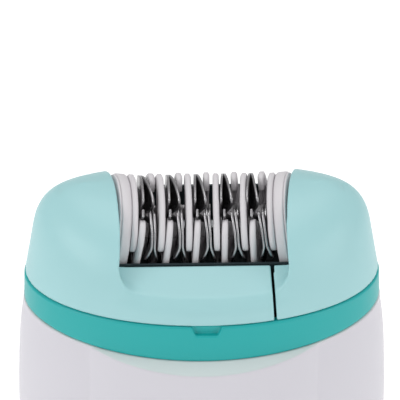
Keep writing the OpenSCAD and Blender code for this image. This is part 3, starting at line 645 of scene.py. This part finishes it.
def blade_pair(index):
    """Two thin metal discs beside a white one, with bent lobes that fan out at the rim."""
    body = "station_%02d" % index
    place = station_frame(body + "_spin")
    odd = index % 2 == 1
    out = OUTWARD * station_x(body + "_spin")
    parts = []
    for which, (angles, sideways) in enumerate(ODD_BENDS if odd else EVEN_BENDS):
        hub_t = BLADE_HUB_T[which]

        def bend(angle, r, turn=0, hub_t=hub_t, angles=angles, sideways=sideways):
            rim = np.interp(angle - turn, angles, sideways) + (0 if odd else EVEN_LEAN * out)
            return hub_t + (rim - hub_t) * fade(r, HUB_R + 0.3, 9)

        def rear(angle, r, hub_t=hub_t, rim=EVEN_REAR[which]):
            return hub_t + (rim - hub_t) * fade(r, HUB_R + 0.3, 9) + 0 * angle

        def tab(angle, r, hub_t=hub_t):
            rim = TAB_PLACE + EVEN_LEAN * out
            return hub_t + (rim - hub_t) * fade(r, HUB_R + 0.3, 8) + 0 * angle

        parts.append(turned_ring(
            lambda t, r, a, h=hub_t: place(t + h, r, a),
            BORE_R, HUB_R + 0.4, BLADE_HALF_T, 0.08,
        ))
        lobes = [(angles[0], angles[-1], bend)]
        if odd:
            lobes.append((angles[0] + 180, angles[-1] + 180, lambda a, r, b=bend: b(a, r, 180)))
        else:
            lobes.append((*REAR_ANGLES, rear))
            if which == 0:
                lobes.append((*TAB_ANGLES, tab))
        for low, high, shape in lobes:
            parts.append(lobe(
                place, low, high, HUB_R, BLADE_R, BLADE_HALF_T, shape,
                steps=30, end_t=0.8, rim_t=0.9, square=16,
            ))
    obj = solid("blade_pair_%02d" % index, parts)
    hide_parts("tweezers_%02d" % index)
    dress(obj, body, BLADE)


# Section of an end disc, from its inner face to the thin flange beside the cheek
END_SECTION = (
    (BORE_R, -1.2), (6, -1.2), (10.03, -1.2), (10.19, -1.13), (10.28, -0.95), (10.28, 0.3),
    (10.26, 0.48), (10.14, 0.58), (9.75, 0.6), (9.75, 0.7), (9.94, 0.7), (10.02, 0.76),
    (10.02, 0.9), (9.94, 1.0), (6, 1.0), (BORE_R, 1.0),
)


def end_disc(side):
    """The wide disc at one end of the drum; side is -1 left, 1 right."""
    word = "left" if side < 0 else "right"
    body = "end_" + word
    place = station_frame(body + "_spin")
    ring = turned(lambda t, r, a: place(side * t, r, side * a), END_SECTION, 120)
    obj = solid("rim_disc_" + word, [ring])
    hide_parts("end_disc_" + word)
    dress(obj, body, DISC)


def build_drum():
    for index in range(1, STATION_COUNT + 1):
        white_disc(index)
    for index in range(1, STATION_COUNT):
        blade_pair(index)
    for side in (-1, 1):
        end_disc(side)


# ---------------------------------------------------------------- materials

def srgb(r, g, b):
    """A linear colour from 0-255 screen values."""
    linear = [
        ((c / 255 + 0.055) / 1.055) ** 2.4 if c > 10 else c / 255 / 12.92 for c in (r, g, b)
    ]
    return (*linear, 1)


def material(name, colour, roughness, metallic=0.0, coat=0.0, subsurface=0.0, bump=0.05,
             grain=900.0, mottle=0.03, rough_spread=0.06, stretch=(1, 1, 1), painted_bounce=None):
    """A procedural finish: fine moulded or brushed grain, soft mottling of colour and gloss.

    The last argument gives a colour painted on the parts that face up: painted bounce light from the teal ring
    above them, not a colour of the plastic.
    """
    m = bpy.data.materials.new(name)
    m.use_nodes = True
    nodes, links = m.node_tree.nodes, m.node_tree.links
    shader = nodes["Principled BSDF"]
    place = nodes.new("ShaderNodeTexCoord")
    scale = nodes.new("ShaderNodeMapping")
    scale.inputs["Scale"].default_value = stretch
    links.new(place.outputs["Object"], scale.inputs["Vector"])

    fine = nodes.new("ShaderNodeTexNoise")
    fine.inputs["Scale"].default_value = grain
    fine.inputs["Detail"].default_value = 3
    links.new(scale.outputs["Vector"], fine.inputs["Vector"])
    broad = nodes.new("ShaderNodeTexNoise")
    broad.inputs["Scale"].default_value = 60
    broad.inputs["Detail"].default_value = 2
    links.new(place.outputs["Object"], broad.inputs["Vector"])

    tint = nodes.new("ShaderNodeMix")
    tint.data_type = "RGBA"
    links.new(broad.outputs["Fac"], tint.inputs["Factor"])
    tint.inputs["A"].default_value = tuple(c * (1 - mottle) for c in colour[:3]) + (1,)
    tint.inputs["B"].default_value = tuple(min(1, c * (1 + mottle)) for c in colour[:3]) + (1,)
    links.new(tint.outputs["Result"], shader.inputs["Base Color"])

    gloss = nodes.new("ShaderNodeMapRange")
    gloss.inputs["To Min"].default_value = max(0.02, roughness - rough_spread)
    gloss.inputs["To Max"].default_value = roughness + rough_spread
    links.new(fine.outputs["Fac"], gloss.inputs["Value"])
    links.new(gloss.outputs["Result"], shader.inputs["Roughness"])

    relief = nodes.new("ShaderNodeBump")
    relief.inputs["Strength"].default_value = bump
    relief.inputs["Distance"].default_value = 0.0002
    links.new(fine.outputs["Fac"], relief.inputs["Height"])
    links.new(relief.outputs["Normal"], shader.inputs["Normal"])

    shader.inputs["Metallic"].default_value = metallic
    shader.inputs["Coat Weight"].default_value = coat
    shader.inputs["Coat Roughness"].default_value = 0.15
    # Painted bounce light: up-facing parts are mixed towards the given teal-grey, standing in for the ring's light
    # falling on the ledge under it.
    if painted_bounce:
        normal = nodes.new("ShaderNodeNewGeometry")
        split = nodes.new("ShaderNodeSeparateXYZ")
        links.new(normal.outputs["Normal"], split.inputs["Vector"])
        facing = nodes.new("ShaderNodeMapRange")
        facing.inputs["From Min"].default_value = 0.5
        facing.inputs["From Max"].default_value = 0.8
        links.new(split.outputs["Z"], facing.inputs["Value"])
        painted_bounce_mix = nodes.new("ShaderNodeMix")
        painted_bounce_mix.data_type = "RGBA"
        links.new(facing.outputs["Result"], painted_bounce_mix.inputs["Factor"])
        links.new(tint.outputs["Result"], painted_bounce_mix.inputs["A"])
        painted_bounce_mix.inputs["B"].default_value = painted_bounce
        links.new(painted_bounce_mix.outputs["Result"], shader.inputs["Base Color"])
    if subsurface:
        shader.inputs["Subsurface Weight"].default_value = subsurface
        shader.inputs["Subsurface Radius"].default_value = (1, 1, 1)
        shader.inputs["Subsurface Scale"].default_value = 0.001
    return m


WHITE = material("moulded_white", srgb(208, 206, 213), 0.42, coat=0.12, subsurface=0.1,
                 mottle=0.008)
# The shell's up-facing ledge under the ring gets a teal-grey painted bounce light from the ring.
SHELL = material("shell_white", srgb(207, 205, 212), 0.42, coat=0.12, subsurface=0.1,
                 mottle=0.008, painted_bounce=srgb(198, 208, 208))
TEAL = material("moulded_teal", srgb(8, 168, 167), 0.42, coat=0.1, mottle=0.02)
MINT = material("moulded_mint", srgb(162, 208, 211), 0.46, coat=0.1, subsurface=0.1, mottle=0.012)
DISC = material("disc_ivory", srgb(214, 211, 214), 0.55, subsurface=0.1, bump=0.12, mottle=0.02)
BLADE = material("blade_steel", srgb(172, 171, 173), 0.3, metallic=1.0, bump=0.2,
                 rough_spread=0.1, stretch=(1, 1, 6))
BLACK = material("chassis_black", srgb(16, 36, 42), 0.66, bump=0.15, mottle=0.15)
GREY = material("bearing_grey", srgb(168, 170, 172), 0.5, bump=0.1)
GEAR = material("gear_acetal", srgb(226, 222, 212), 0.42, subsurface=0.1, bump=0.06)
STEEL = material("machined_steel", srgb(170, 172, 175), 0.28, metallic=1.0, bump=0.15,
                 rough_spread=0.1, stretch=(6, 1, 1))
NICKEL = material("nickel_contact", srgb(205, 203, 196), 0.16, metallic=1.0, rough_spread=0.05)
COPPER = material("wound_copper", srgb(184, 104, 62), 0.35, metallic=1.0, bump=0.6, grain=300,
                  stretch=(1, 1, 20))
BRASS = material("pinion_brass", srgb(206, 176, 104), 0.25, metallic=1.0, bump=0.1)
BOARD = material("board_laminate", srgb(28, 96, 62), 0.38, coat=0.4, bump=0.2, grain=400,
                 mottle=0.12)
LEAD = material("lead_insulation", srgb(168, 44, 38), 0.45, bump=0.05)

SLOT_FINISH = {
    "white_shell": WHITE, "teal": TEAL, "mint": MINT, "disc_white": DISC, "blade_steel": BLADE,
    "chassis_black": BLACK, "grey_plastic": GREY, "gear_white": GEAR, "steel": STEEL,
    "nickel": NICKEL, "armature": COPPER, "brass": BRASS, "board": BOARD, "lead_insulation": LEAD,
}

# Rounded edges of the CAD nodes that stay in view
EDGE_WIDTH = {
    "switch_knob": 0.45, "release_button": 0.5, "base_cap": 0.25, "gear_frame": 0.2,
    "circuit_board": 0.12, "motor_can": 0.4, "head_chassis": 0.12, "head_deck": 0.2,
}


def dress(obj, body, finish):
    """Gives a new piece its finish and the body it rides on."""
    obj.data.materials.clear()
    obj.data.materials.append(finish)
    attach(obj, body)


def dress_cad_nodes():
    """Every CAD node that stays gets its finish, and the plain ones rounded edges."""
    slots = {s["node"]: s["material_slot"] for s in frame["record"]["subparts"]}
    for name, obj in frame["nodes"].items():
        if obj.hide_render:
            continue
        obj.data.materials.clear()
        obj.data.materials.append(SLOT_FINISH[slots[name]])
        if name in EDGE_WIDTH:
            weld = obj.modifiers.new("weld", "WELD")
            weld.merge_threshold = 1e-6
            bevel = obj.modifiers.new("edges", "BEVEL")
            bevel.width = EDGE_WIDTH[name] / MM
            bevel.segments = 3
            bevel.limit_method = "ANGLE"
            bevel.angle_limit = math.radians(40)
            bevel.harden_normals = True


# ---------------------------------------------------------------- stage

# The viewing angle, the width of the view at the object, and where the view's middle lies
# from the joint's middle
CAMERA_AZIMUTH = math.radians(-1.4)
CAMERA_ELEVATION = math.radians(30)
CAMERA_DISTANCE = 0.5
FRAME_WIDTH = 0.07484
AIM_UP = 0.01238
AIM_LEFT = 0.00034


def build_camera():
    cam = bpy.data.cameras.new("camera")
    cam.sensor_width = 36
    cam.lens = 36 * CAMERA_DISTANCE / FRAME_WIDTH
    cam.clip_start = 0.01
    obj = bpy.data.objects.new("camera", cam)
    bpy.context.scene.collection.objects.link(obj)
    a, e = CAMERA_AZIMUTH, CAMERA_ELEVATION
    back = Vector((math.sin(a) * math.cos(e), -math.cos(a) * math.cos(e), math.sin(e)))
    right = Vector((math.cos(a), math.sin(a), 0))
    up = back.cross(right)
    target = Vector((0, 0, SEAM_Z / MM)) + up * AIM_UP - right * AIM_LEFT
    obj.location = target + back * CAMERA_DISTANCE
    obj.rotation_euler = back.to_track_quat("Z", "Y").to_euler()
    bpy.context.scene.camera = obj


def softbox(name, place, size, watts):
    """A soft rectangular lamp, turned towards the head."""
    light = bpy.data.lights.new(name, "AREA")
    light.shape = "RECTANGLE"
    light.size, light.size_y = size
    light.energy = watts
    obj = bpy.data.objects.new(name, light)
    bpy.context.scene.collection.objects.link(obj)
    obj.location = place
    aim = Vector((0, 0, LAMP_AIM_Z)) - Vector(place)
    obj.rotation_euler = aim.to_track_quat("-Z", "Y").to_euler()


WORLD_LIGHT = 0.5
FLOOR_GLOW = 0.35
FLOOR_HALF_W = 4000.0
LAMP_AIM_Z = 0.11


def build_stage():
    points = np.array([(-1, -1, 0), (1, -1, 0), (1, 1, 0), (-1, 1, 0)]) * FLOOR_HALF_W
    floor = mesh_object("floor", points - (0, 0, 0.05), [[0, 1, 2, 3]], smooth=False)
    paper = material("floor_paper", (0.93, 0.93, 0.93, 1), 0.9, mottle=0.005, bump=0.02)
    shader = paper.node_tree.nodes["Principled BSDF"]
    shader.inputs["Emission Color"].default_value = (1, 1, 1, 1)
    shader.inputs["Emission Strength"].default_value = FLOOR_GLOW
    floor.data.materials.append(paper)
    world = bpy.data.worlds.new("studio")
    world.use_nodes = True
    world.node_tree.nodes["Background"].inputs["Color"].default_value = (1, 1, 1, 1)
    world.node_tree.nodes["Background"].inputs["Strength"].default_value = WORLD_LIGHT
    bpy.context.scene.world = world
    softbox("key", (-0.8, -0.45, 0.6), (0.5, 0.5), 3.0)
    softbox("fill", (0.85, -0.4, 0.45), (0.5, 0.6), 2.2)
    softbox("top", (0, 0.1, 0.9), (0.7, 0.5), 2.2)
    bpy.context.scene.view_settings.view_transform = "Standard"


build_handle()
build_ring()
build_head()
build_drum()
dress_cad_nodes()
build_stage()
build_camera()
